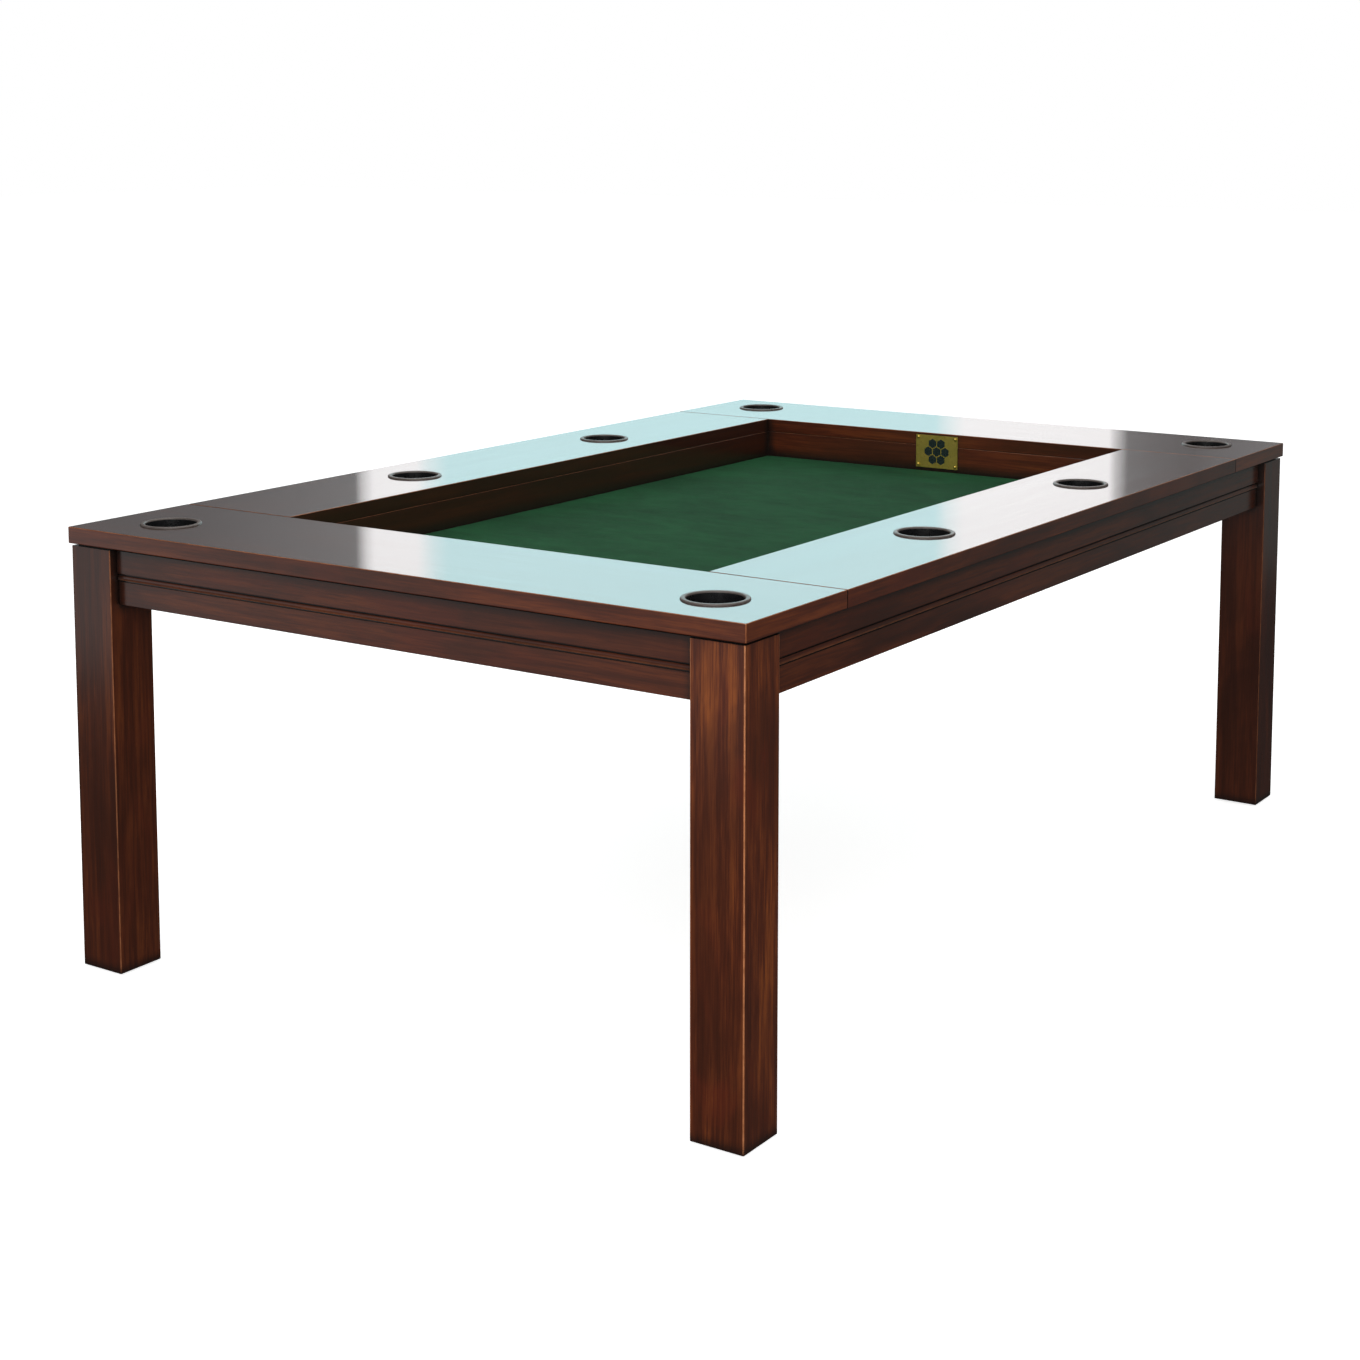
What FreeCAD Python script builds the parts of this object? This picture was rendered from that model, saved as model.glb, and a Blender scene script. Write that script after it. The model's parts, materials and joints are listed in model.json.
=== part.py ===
"""Gaming table with a sunken felt play area, as a parametric FreeCAD 1.1 macro (millimetres).

Frame: +Z up, +X along the table's length, origin on the floor under the table's centre.
Front is the long side at -Y, back the long side at +Y, left the short end at -X, right the end at +X.

Four square legs and four moulded aprons carry four wide top boards. Inside the ring of boards a pit
goes down to a felt-covered board, which lies on cross bearers between the long aprons. Eight cup
holders drop into holes in the top boards and lift straight out.
"""
import FreeCAD, Part
import os
import Sketcher

# Driving dimensions, one spreadsheet cell each.
DIMENSIONS = {
    # whole table
    "table_length": 2110,
    "table_width": 1345,
    "table_height": 762,
    # top boards: two end boards across the whole width, two long boards between them
    "board_thickness": 28,
    "end_board_width": 275,
    "long_board_width": 243,
    "seam_gap": 2.2,
    "corner_radius": 2,
    "arris_radius": 1.5,
    # legs
    "leg_width": 91,
    "leg_inset": 4,
    "leg_cut": 18,
    "leg_cut_height": 100,
    "glide_thickness": 3,
    "glide_radius": 20,
    "glide_nail_radius": 1.5,
    "glide_nail_length": 16,
    # dark line between the top boards and what carries them
    "leg_shadow_gap": 4,
    "apron_shadow_gap": 5,
    "shadow_depth": 8,
    # aprons: an upper and a lower fascia with a cove between two quirks
    "apron_setback": 13,
    "apron_thickness": 25,
    "apron_bottom": 637,
    "upper_fascia_bottom": 690,
    "lower_fascia_top": 676.5,
    "lower_fascia_setback": 3.5,
    "quirk_height": 3,
    "quirk_depth": 5,
    "cove_head_setback": 2,
    "cove_foot_setback": 0.8,
    "cove_radius": 9,
    "moulding_arris_radius": 0.8,
    "apron_end_groove": 3,
    # pit
    "pit_wall_thickness": 18,
    "play_board_thickness": 16,
    "felt_thickness": 3,
    "felt_clearance": 0.5,
    "pit_depth": 82,
    # bearers under the play board, and the cleats that carry them
    "bearer_height": 24,
    "bearer_width": 60,
    "bearer_spacing": 350,
    "cleat_height": 12,
    "cleat_width": 20,
    "cleat_end_space": 240,
    # cup holders
    "cup_bore_radius": 43,
    "cup_wall": 1.6,
    "cup_floor": 2,
    "cup_depth": 64,
    "cup_rim_radius": 51.2,
    "cup_rim_height": 2.8,
    "cup_rim_round": 2.6,
    "cup_floor_round": 3,
    "cup_hole_clearance": 0.9,
    "cup_end_offset": 115,
    "cup_side_offset": 124.5,
    "cup_middle_offset": 309,
    # corner brackets and the bolts that pull the legs in
    "bracket_reach": 200,
    "bracket_flange": 45,
    "bracket_sheet": 2.5,
    "bracket_height": 50,
    "bracket_bottom": 641,
    "bracket_hole_rise": 12.5,
    "bracket_screw_offset": 15,
    "bolt_radius": 4,
    "bolt_length": 80,
    "bolt_tail": 14,
    "bolt_hole_radius": 4.5,
    "washer_radius": 10,
    "washer_bore": 4.2,
    "washer_thickness": 1.6,
    "nut_corner_radius": 7.5,
    "nut_bore": 4.05,
    "nut_height": 6.5,
    # wooden fixing blocks, and how far along each side from its middle they are
    "block_side": 24,
    "block_length": 60,
    "apron_block_outer": 620,
    "apron_block_inner": 190,
    "end_apron_block": 300,
    "wall_block": 500,
    "end_wall_block": 200,
    # wood screws
    "screw_radius": 2,
    "screw_hole_radius": 2.4,
    "screw_head_radius": 4,
    "screw_head_height": 2.4,
    "screw_cover": 3,
    "board_screw_bite": 14,
    "apron_screw_bite": 16,
    "thin_board_screw_bite": 12,
    "block_screw_offset": 15,
    "cleat_screw_offset": 70,
    "play_board_screw_offset": 286,
    # joints between the top boards
    "dowel_radius": 5,
    "dowel_length": 60,
    "dowel_spacing": 70,
    "dowel_edge_space": 50,
    "plate_length": 80,
    "plate_width": 20,
    "plate_sheet": 2.5,
    "plate_edge_space": 82.5,
    "plate_spacing": 90,
    "plate_hole_near": 15,
    "plate_hole_far": 30,
    # name plate
    "plaque_width": 100,
    "plaque_height": 71,
    "plaque_sheet": 1.5,
    "plaque_top_space": 5,
    "plaque_tile_radius": 10.5,
    "plaque_tile_gap": 2,
    "plaque_tile_depth": 0.5,
    "pin_margin": 5.5,
    "pin_head_radius": 3.4,
    "pin_shank_radius": 0.8,
    "pin_hole_radius": 0.9,
    "pin_length": 12,
}

# Heights and distances that several pieces share.
BOARD_BOTTOM = "(dims.table_height - dims.board_thickness)"
FELT_TOP = "(dims.table_height - dims.pit_depth)"
PLAY_BOARD_TOP = f"({FELT_TOP} - dims.felt_thickness)"
PLAY_BOARD_BOTTOM = f"({PLAY_BOARD_TOP} - dims.play_board_thickness)"
APRON_FACE = "(dims.leg_inset + dims.apron_setback)"
APRON_BACK = f"({APRON_FACE} + dims.apron_thickness)"
LEG_END = "(dims.leg_inset + dims.leg_width)"
HALF_LENGTH = "(dims.table_length / 2)"
HALF_WIDTH = "(dims.table_width / 2)"
PIT_HALF_LENGTH = f"({HALF_LENGTH} - dims.end_board_width)"
PIT_HALF_WIDTH = f"({HALF_WIDTH} - dims.long_board_width)"
CUP_BODY_RADIUS = "(dims.cup_bore_radius + dims.cup_wall)"

# A side's own frame has X along the side, Y inwards from the edge of the top and Z up from the floor.
# Each side is its name, its turn in degrees, and the middle of its edge.
SIDES = [
    ("front", 0, "0", f"-{HALF_WIDTH}"),
    ("right", 90, HALF_LENGTH, "0"),
    ("back", 180, "0", HALF_WIDTH),
    ("left", 270, f"-{HALF_LENGTH}", "0"),
]
LONG_SIDES = ("front", "back")

# A corner's own frame has X and Y inwards along both edges. Each corner is its name, turn and signs.
CORNERS = [
    ("front_left", 0, -1, -1),
    ("front_right", 90, 1, -1),
    ("back_right", 180, 1, 1),
    ("back_left", 270, -1, 1),
]

UP = FreeCAD.Vector(0, 0, 1)
ORIGIN_VERTEX = (-1, 1)
START = 1
END = 2
NEAR = 1e-4

document = FreeCAD.newDocument("gaming_table")
sheet = document.addObject("Spreadsheet::Sheet", "dims")
pieces = []


def fill_sheet():
    for row, (name, value) in enumerate(DIMENSIONS.items(), 1):
        sheet.set(f"A{row}", name)
        sheet.set(f"B{row}", str(value))
        sheet.setAlias(f"B{row}", name)
    document.recompute()


def evaluate(expression):
    return float(sheet.evalExpression(expression))


def bind(feature, **sizes):
    """Tie properties of a feature to expressions on the spreadsheet."""
    for name, expression in sizes.items():
        feature.setExpression(name, expression)


def place(piece, x="0", y="0", z="0", rotation=FreeCAD.Rotation()):
    """Put a piece's own origin at an expression for each coordinate, with a fixed rotation."""
    piece.Placement = FreeCAD.Placement(FreeCAD.Vector(), rotation)
    for axis, expression in zip("xyz", (x, y, z)):
        piece.setExpression(f"Placement.Base.{axis}", expression)
    return piece


def turned(degrees):
    return FreeCAD.Rotation(UP, degrees)


def keep(piece, label):
    """Name a finished sub-part and list it for export."""
    piece.Label = label
    pieces.append(piece)
    return piece


def at_side(side, along, inwards):
    """Table coordinates, as expressions, of a point in a side's own frame."""
    x = {"front": along, "right": f"{HALF_LENGTH} - ({inwards})",
         "back": f"-({along})", "left": f"({inwards}) - {HALF_LENGTH}"}
    y = {"front": f"({inwards}) - {HALF_WIDTH}", "right": along,
         "back": f"{HALF_WIDTH} - ({inwards})", "left": f"-({along})"}
    return x[side], y[side]


def at_corner(sign_x, sign_y, from_end, from_side):
    """Table coordinates, as expressions, of a point at two distances from a corner's edges."""
    return (f"{sign_x} * ({HALF_LENGTH} - ({from_end}))",
            f"{sign_y} * ({HALF_WIDTH} - ({from_side}))")


# Sketches and features

def new_body(name):
    return document.addObject("PartDesign::Body", f"{name}_body")


def new_sketch(body, name, role, height=None, turn=None):
    """A sketch on one of the body's own origin planes, lifted or turned about its upright axis."""
    plane = next(item for item in body.Origin.OriginFeatures if item.Role == role)
    sketch = body.newObject("Sketcher::SketchObject", f"{body.Name}_{name}")
    sketch.AttachmentSupport = [(plane, "")]
    sketch.MapMode = "FlatFace"
    if turn:
        upright = FreeCAD.Rotation(FreeCAD.Vector(0, 1, 0), turn)
        sketch.AttachmentOffset = FreeCAD.Placement(FreeCAD.Vector(), upright)
    if height:
        sketch.setExpression("AttachmentOffset.Base.z", height)
    return sketch


def pin_vertex(sketch, vertex, x, y):
    """Hold a vertex, given as its geometry and end, at two expressions."""
    for kind, expression in (("DistanceX", x), ("DistanceY", y)):
        constraint = Sketcher.Constraint(kind, *ORIGIN_VERTEX, *vertex, evaluate(expression))
        index = sketch.addConstraint(constraint)
        sketch.setExpression(f"Constraints[{index}]", expression)


def draw_outline(sketch, corners, arcs=None):
    """Draw a closed outline through corners, pairs of expressions.

    arcs maps a corner's number to the radius expression of a hollow arc from it to the next corner.
    """
    arcs = arcs or {}
    points = [FreeCAD.Vector(evaluate(x), evaluate(y), 0) for x, y in corners]
    first = sketch.GeometryCount
    for number, start in enumerate(points):
        end = points[(number + 1) % len(points)]
        if number in arcs:
            sketch.addGeometry(hollow_arc(start, end, evaluate(arcs[number])))
        else:
            sketch.addGeometry(Part.LineSegment(start, end))
    edges = range(first, sketch.GeometryCount)
    for (x, y), point in zip(corners, points):
        meeting = [(edge, end) for edge in edges for end in (START, END)
                   if sketch.getPoint(edge, end).isEqual(point, NEAR)]
        sketch.addConstraint(Sketcher.Constraint("Coincident", *meeting[0], *meeting[1]))
        pin_vertex(sketch, meeting[0], x, y)
    for number, radius in arcs.items():
        index = sketch.addConstraint(Sketcher.Constraint("Radius", first + number, evaluate(radius)))
        sketch.setExpression(f"Constraints[{index}]", radius)


def hollow_arc(start, end, radius):
    """The arc between two points that bulges to the left of the way from start to end."""
    chord = end - start
    left = UP.cross(chord).normalize()
    rise = radius - (radius ** 2 - (chord.Length / 2) ** 2) ** 0.5
    return Part.Arc(start, (start + end) / 2 + left * rise, end)


def draw_rectangle(sketch, low_x, low_y, high_x, high_y):
    draw_outline(sketch, [(low_x, low_y), (high_x, low_y), (high_x, high_y), (low_x, high_y)])


def draw_circle(sketch, x, y, radius):
    centre = FreeCAD.Vector(evaluate(x), evaluate(y), 0)
    circle = sketch.addGeometry(Part.Circle(centre, UP, evaluate(radius)))
    pin_vertex(sketch, (circle, 3), x, y)
    index = sketch.addConstraint(Sketcher.Constraint("Radius", circle, evaluate(radius)))
    sketch.setExpression(f"Constraints[{index}]", radius)


def pad(body, sketch, length, symmetric=False):
    feature = body.newObject("PartDesign::Pad", f"{sketch.Name}_pad")
    feature.Profile = sketch
    feature.SideType = "Symmetric" if symmetric else "One side"
    bind(feature, Length=length)
    return feature


def pocket(body, sketch, depth=None):
    """Cut down from a sketch by a depth, or right through both ways. The volume has to drop."""
    document.recompute()
    before = body.Shape.Volume
    feature = body.newObject("PartDesign::Pocket", f"{sketch.Name}_pocket")
    feature.Profile = sketch
    if depth:
        bind(feature, Length=depth)
    else:
        feature.SideType = "Symmetric"
        feature.Type = "ThroughAll"
    document.recompute()
    if body.Shape.Volume >= before:
        raise RuntimeError(f"{feature.Name} cuts nothing")
    return feature


def round_edges(body, name, radius, wanted):
    """Round the edges of the body so far that pass the test."""
    document.recompute()
    base = body.Tip
    edges = [f"Edge{number}" for number, edge in enumerate(base.Shape.Edges, 1) if wanted(edge)]
    feature = body.newObject("PartDesign::Fillet", f"{body.Name}_{name}")
    feature.Base = (base, edges)
    bind(feature, Radius=radius)
    return feature


def is_upright(edge):
    return edge.BoundBox.XLength < NEAR and edge.BoundBox.YLength < NEAR


def is_level(edge):
    return edge.BoundBox.ZLength < NEAR


def passes(edge, **coordinates):
    """True where every point of the edge has the given coordinates, such as y=0."""
    box = edge.BoundBox
    spans = {"x": (box.XMin, box.XMax), "y": (box.YMin, box.YMax), "z": (box.ZMin, box.ZMax)}
    return all(abs(limit - value) < NEAR
               for axis, value in coordinates.items() for limit in spans[axis])


# Simple solids, fasteners and groups

def box(name, length, width, height):
    solid = document.addObject("Part::Box", name)
    bind(solid, Length=length, Width=width, Height=height)
    return solid


def cylinder(name, radius, height):
    solid = document.addObject("Part::Cylinder", name)
    bind(solid, Radius=radius, Height=height)
    return solid


def combine(kind, name, base, tool):
    """A Part::Fuse or Part::Cut of two solids."""
    result = document.addObject(kind, name)
    result.Base = base
    result.Tool = tool
    return result


def group(label, members):
    """One sub-part made of separate, identical solids."""
    compound = document.addObject("Part::Compound", f"{label}_group")
    compound.Links = members
    return keep(compound, label)


def countersunk_screw(name, length):
    """A wood screw, point up, whose flat head is flush with its own origin."""
    shank = cylinder(f"{name}_shank", "dims.screw_radius", length)
    head = document.addObject("Part::Cone", f"{name}_head")
    bind(head, Radius1="dims.screw_head_radius", Radius2="dims.screw_radius",
         Height="dims.screw_head_height")
    return combine("Part::Fuse", name, head, shank)


def pan_head_screw(name, length):
    """A wood screw, point up, whose head stands below its own origin, on a steel sheet."""
    head = cylinder(f"{name}_head", "dims.screw_head_radius", "dims.screw_head_height")
    place(head, z="-dims.screw_head_height")
    return combine("Part::Fuse", name, head, cylinder(f"{name}_shank", "dims.screw_radius", length))


def aimed(direction):
    """The rotation that points a solid's own Z along a direction."""
    return FreeCAD.Rotation(UP, FreeCAD.Vector(*direction))


def side_inwards(side):
    return {"front": (0, 1, 0), "right": (-1, 0, 0), "back": (0, -1, 0), "left": (1, 0, 0)}[side]


def outwards(direction):
    return tuple(-part for part in direction)


# The table's pieces

def make_leg(corner, turn, sign_x, sign_y):
    """A square leg. Its top is stepped back for the shadow line, and its inner corner is cut off."""
    name = f"leg_{corner}"
    body = new_body(name)
    width = "dims.leg_width"
    height = f"({BOARD_BOTTOM} - dims.glide_thickness)"
    square = new_sketch(body, "square", "XY_Plane")
    draw_rectangle(square, "0", "0", width, width)
    pad(body, square, f"{height} - dims.leg_shadow_gap")
    round_edges(body, "arrises", "dims.corner_radius", is_upright)
    step = new_sketch(body, "step", "XY_Plane", height=f"{height} - dims.leg_shadow_gap")
    draw_rectangle(step, "dims.shadow_depth", "dims.shadow_depth", width, width)
    pad(body, step, "dims.leg_shadow_gap")
    cut = new_sketch(body, "cut", "XY_Plane", height=height)
    short = f"{width} - dims.leg_cut"
    far = f"{width} + dims.leg_cut"
    draw_outline(cut, [(short, far), (short, width), (width, short), (far, short), (far, far)])
    pocket(body, cut, "dims.leg_cut_height")
    x, y = at_corner(sign_x, sign_y, "dims.leg_inset", "dims.leg_inset")
    place(body, x, y, "dims.glide_thickness", turned(turn))
    keep(body, name)


def make_glide(corner, sign_x, sign_y):
    """A nylon glide with its nail, under the middle of a leg."""
    name = f"glide_{corner}"
    disc = document.addObject("Part::Cone", f"{name}_disc")
    bind(disc, Radius1="dims.glide_radius - dims.glide_thickness / 2", Radius2="dims.glide_radius",
         Height="dims.glide_thickness")
    nail = cylinder(f"{name}_nail", "dims.glide_nail_radius",
                    "dims.glide_thickness + dims.glide_nail_length")
    glide = combine("Part::Fuse", f"{name}_fuse", disc, nail)
    middle = "dims.leg_inset + dims.leg_width / 2"
    x, y = at_corner(sign_x, sign_y, middle, middle)
    keep(place(glide, x, y), name)


def make_apron(side, turn, x, y):
    """A moulded apron between two legs: fascia, quirk, cove, quirk, fascia, from the top down.

    A groove down each end leaves a dark line where the apron meets the leg.
    """
    name = f"apron_{side}"
    body = new_body(name)
    lower_face = f"({APRON_FACE} + dims.lower_fascia_setback)"
    quirk_back = f"({APRON_FACE} + dims.quirk_depth)"
    cove_head = "(dims.upper_fascia_bottom - dims.quirk_height)"
    cove_foot = "(dims.lower_fascia_top + dims.quirk_height)"
    shadow = f"({APRON_FACE} + dims.shadow_depth)"
    fascia_top = f"({BOARD_BOTTOM} - dims.apron_shadow_gap)"
    corners = [
        (lower_face, "dims.apron_bottom"),
        (APRON_BACK, "dims.apron_bottom"),
        (APRON_BACK, BOARD_BOTTOM),
        (shadow, BOARD_BOTTOM),
        (shadow, fascia_top),
        (APRON_FACE, fascia_top),
        (APRON_FACE, "dims.upper_fascia_bottom"),
        (quirk_back, "dims.upper_fascia_bottom"),
        (quirk_back, cove_head),
        (f"{APRON_FACE} + dims.cove_head_setback", cove_head),
        (f"{APRON_FACE} + dims.cove_foot_setback", cove_foot),
        (quirk_back, cove_foot),
        (quirk_back, "dims.lower_fascia_top"),
        (lower_face, "dims.lower_fascia_top"),
    ]
    cove_start = 9
    profile = new_sketch(body, "profile", "YZ_Plane")
    draw_outline(profile, corners, arcs={cove_start: "dims.cove_radius"})
    whole = "dims.table_length" if side in LONG_SIDES else "dims.table_width"
    pad(body, profile, f"{whole} - 2 * {LEG_END}", symmetric=True)
    shown = [(APRON_FACE, "dims.upper_fascia_bottom"),
             (APRON_FACE, fascia_top),
             (lower_face, "dims.lower_fascia_top"),
             (lower_face, "dims.apron_bottom"),
             (APRON_BACK, "dims.apron_bottom")]
    lines = [(evaluate(y_line), evaluate(z_line)) for y_line, z_line in shown]
    round_edges(body, "arrises", "dims.moulding_arris_radius",
                lambda edge: any(passes(edge, y=line[0], z=line[1]) for line in lines))
    half = f"({whole} / 2 - {LEG_END})"
    grooves = new_sketch(body, "end_grooves", "XY_Plane")
    for sign in (-1, 1):
        draw_rectangle(grooves, f"{sign} * ({half} - dims.apron_end_groove)", "dims.leg_inset",
                       f"{sign} * {half}", shadow)
    pocket(body, grooves)
    place(body, x, y, rotation=turned(turn))
    keep(body, name)


def make_top_board(side, turn, x, y):
    """A top board with its two cup holes. End boards run the whole width, long boards between them."""
    name = f"top_board_{side}"
    body = new_body(name)
    if side in LONG_SIDES:
        half = f"({PIT_HALF_LENGTH} - dims.seam_gap)"
        width = "dims.long_board_width"
        cup_along = "dims.cup_middle_offset"
        cup_inwards = "dims.cup_side_offset"
    else:
        half = HALF_WIDTH
        width = "dims.end_board_width"
        cup_along = f"({HALF_WIDTH} - dims.cup_side_offset)"
        cup_inwards = "dims.cup_end_offset"
    plan = new_sketch(body, "plan", "XY_Plane")
    draw_rectangle(plan, f"-{half}", "0", half, width)
    pad(body, plan, "dims.board_thickness")
    if side not in LONG_SIDES:
        round_edges(body, "corners", "dims.corner_radius",
                    lambda edge: is_upright(edge) and passes(edge, y=0))
    round_edges(body, "arrises", "dims.arris_radius", is_level)
    holes = new_sketch(body, "holes", "XY_Plane")
    for sign in (-1, 1):
        draw_circle(holes, f"{sign} * {cup_along}", cup_inwards,
                    f"{CUP_BODY_RADIUS} + dims.cup_hole_clearance")
    pocket(body, holes)
    place(body, x, y, BOARD_BOTTOM, turned(turn))
    keep(body, name)


def make_pit_wall(side, turn, x, y):
    """A board that lines one side of the pit, under the inner edge of a top board."""
    name = f"pit_wall_{side}"
    body = new_body(name)
    if side in LONG_SIDES:
        half = f"({PIT_HALF_LENGTH} + dims.pit_wall_thickness)"
        face = "dims.long_board_width"
    else:
        half = PIT_HALF_WIDTH
        face = "dims.end_board_width"
    plan = new_sketch(body, "plan", "XY_Plane")
    draw_rectangle(plan, f"-{half}", f"{face} - dims.pit_wall_thickness", half, face)
    pad(body, plan, f"{BOARD_BOTTOM} - {PLAY_BOARD_TOP}")
    top = evaluate(f"{BOARD_BOTTOM} - {PLAY_BOARD_TOP}")
    round_edges(body, "arris", "dims.arris_radius",
                lambda edge: passes(edge, y=evaluate(face), z=top))
    place(body, x, y, PLAY_BOARD_TOP, turned(turn))
    keep(body, name)


def make_play_board():
    length = f"2 * ({PIT_HALF_LENGTH} + dims.pit_wall_thickness)"
    width = f"2 * ({PIT_HALF_WIDTH} + dims.pit_wall_thickness)"
    board = box("play_board_box", length, width, "dims.play_board_thickness")
    place(board, f"-({length}) / 2", f"-({width}) / 2", PLAY_BOARD_BOTTOM)
    keep(board, "play_board")


def make_felt():
    half_length = f"({PIT_HALF_LENGTH} - dims.felt_clearance)"
    half_width = f"({PIT_HALF_WIDTH} - dims.felt_clearance)"
    felt = box("play_felt_box", f"2 * {half_length}", f"2 * {half_width}", "dims.felt_thickness")
    place(felt, f"-{half_length}", f"-{half_width}", PLAY_BOARD_TOP)
    keep(felt, "play_felt")


def make_bearer(number, steps):
    """A cross bearer, notched at both ends over the cleats. steps counts spacings from the middle."""
    name = f"cross_bearer_{number}"
    body = new_body(name)
    half = f"({HALF_WIDTH} - {APRON_BACK})"
    notch = f"({half} - dims.cleat_width)"
    side_view = new_sketch(body, "side_view", "YZ_Plane")
    draw_outline(side_view, [
        (f"-{notch}", "0"),
        (notch, "0"),
        (notch, "dims.cleat_height"),
        (half, "dims.cleat_height"),
        (half, "dims.bearer_height"),
        (f"-{half}", "dims.bearer_height"),
        (f"-{half}", "dims.cleat_height"),
        (f"-{notch}", "dims.cleat_height"),
    ])
    pad(body, side_view, "dims.bearer_width", symmetric=True)
    place(body, f"{steps} * dims.bearer_spacing", "0", f"{PLAY_BOARD_BOTTOM} - dims.bearer_height")
    keep(body, name)


def make_cleat(side, turn):
    """A strip along the inside of a long apron, which carries the bearers' ends."""
    half = f"({HALF_LENGTH} - dims.cleat_end_space)"
    cleat = box(f"bearer_cleat_{side}_box", f"2 * {half}", "dims.cleat_width", "dims.cleat_height")
    x, y = at_side(side, f"-{half}", APRON_BACK)
    place(cleat, x, y, f"{PLAY_BOARD_BOTTOM} - dims.bearer_height", turned(turn))
    keep(cleat, f"bearer_cleat_{side}")


def make_cup_holder(name, x, y):
    """A drop-in cup: a round tub with a flange that rests on the top board."""
    label = f"cup_holder_{name}"
    body = new_body(label)
    bore = "dims.cup_bore_radius"
    bottom = "-dims.cup_depth"
    floor = "(dims.cup_floor - dims.cup_depth)"
    profile = new_sketch(body, "profile", "XZ_Plane")
    draw_outline(profile, [
        ("0", bottom),
        (CUP_BODY_RADIUS, bottom),
        (CUP_BODY_RADIUS, "0"),
        ("dims.cup_rim_radius", "0"),
        ("dims.cup_rim_radius", "dims.cup_rim_height"),
        (bore, "dims.cup_rim_height"),
        (bore, floor),
        ("0", floor),
    ])
    turn = body.newObject("PartDesign::Revolution", f"{body.Name}_turn")
    turn.Profile = profile
    turn.ReferenceAxis = (profile, ["V_Axis"])
    turn.Angle = 360
    rim_top = evaluate("dims.cup_rim_height")
    round_edges(body, "rim", "dims.cup_rim_round", lambda edge: passes(edge, z=rim_top))
    ends = [evaluate(bottom), evaluate(floor)]
    round_edges(body, "floor", "dims.cup_floor_round",
                lambda edge: any(passes(edge, z=end) for end in ends))
    place(body, x, y, "dims.table_height")
    keep(body, label)


def make_cup_holders():
    for corner, _, sign_x, sign_y in CORNERS:
        x, y = at_corner(sign_x, sign_y, "dims.cup_end_offset", "dims.cup_side_offset")
        make_cup_holder(f"corner_{corner}", x, y)
    for side in LONG_SIDES:
        for end, sign in (("left", -1), ("right", 1)):
            y_sign = -1 if side == "front" else 1
            y = f"{y_sign} * ({HALF_WIDTH} - dims.cup_side_offset)"
            make_cup_holder(f"middle_{side}_{end}", f"{sign} * dims.cup_middle_offset", y)


def make_bracket(corner, turn, sign_x, sign_y):
    """A sheet-steel corner bracket: a diagonal plate in front of the leg and a flange on each apron."""
    name = f"corner_bracket_{corner}"
    body = new_body(name)
    face = APRON_BACK
    inner = f"({APRON_BACK} + dims.bracket_sheet)"
    bend = f"(dims.bracket_reach - {APRON_BACK})"
    inner_bend = f"({bend} + dims.bracket_sheet * (sqrt(2) - 1))"
    tip = f"({bend} + dims.bracket_flange)"
    plan = new_sketch(body, "plan", "XY_Plane")
    draw_outline(plan, [(tip, face), (tip, inner), (inner_bend, inner), (inner, inner_bend),
                        (inner, tip), (face, tip), (face, bend), (bend, face)])
    pad(body, plan, "dims.bracket_height")
    rises = ["dims.bracket_hole_rise", "dims.bracket_height - dims.bracket_hole_rise"]
    screw_line = f"({tip} - dims.bracket_screw_offset)"
    diagonal = new_sketch(body, "bolt_holes", "XZ_Plane", turn=-45)
    front_flange = new_sketch(body, "front_screw_holes", "XZ_Plane")
    side_flange = new_sketch(body, "side_screw_holes", "YZ_Plane")
    for rise in rises:
        draw_circle(diagonal, "0", rise, "dims.bolt_hole_radius")
        draw_circle(front_flange, screw_line, rise, "dims.screw_hole_radius")
        draw_circle(side_flange, screw_line, rise, "dims.screw_hole_radius")
    for holes in (diagonal, front_flange, side_flange):
        pocket(body, holes)
    x, y = at_corner(sign_x, sign_y, "0", "0")
    place(body, x, y, "dims.bracket_bottom", turned(turn))
    keep(body, name)


def make_leg_bolts():
    """Hanger bolts along each corner's diagonal, with their washers and nuts inside the brackets."""
    plate = "(dims.bracket_reach / sqrt(2) + dims.bracket_sheet)"
    bolts, washers, nuts = [], [], []
    for corner, _, sign_x, sign_y in CORNERS:
        for level, rise in (("low", "dims.bracket_hole_rise"),
                            ("high", "dims.bracket_height - dims.bracket_hole_rise")):
            name = f"{corner}_{level}"
            bolt = cylinder(f"bolt_{name}", "dims.bolt_radius", "dims.bolt_length")
            washer = combine("Part::Cut", f"washer_{name}",
                             cylinder(f"washer_disc_{name}", "dims.washer_radius",
                                      "dims.washer_thickness"),
                             cylinder(f"washer_bore_{name}", "dims.washer_bore",
                                      "dims.washer_thickness"))
            hexagon = document.addObject("Part::Prism", f"nut_hexagon_{name}")
            bind(hexagon, Circumradius="dims.nut_corner_radius", Height="dims.nut_height")
            nut = combine("Part::Cut", f"nut_{name}", hexagon,
                          cylinder(f"nut_bore_{name}", "dims.nut_bore", "dims.nut_height"))
            stations = [(bolt, f"{plate} + dims.bolt_tail - dims.bolt_length", bolts),
                        (washer, plate, washers),
                        (nut, f"{plate} + dims.washer_thickness", nuts)]
            for solid, station, row in stations:
                step = f"({station}) / sqrt(2)"
                x, y = at_corner(sign_x, sign_y, step, step)
                place(solid, x, y, f"dims.bracket_bottom + {rise}", aimed((-sign_x, -sign_y, 0)))
                row.append(solid)
    group("leg_hanger_bolts", bolts)
    group("leg_bolt_washers", washers)
    group("leg_bolt_nuts", nuts)


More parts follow.
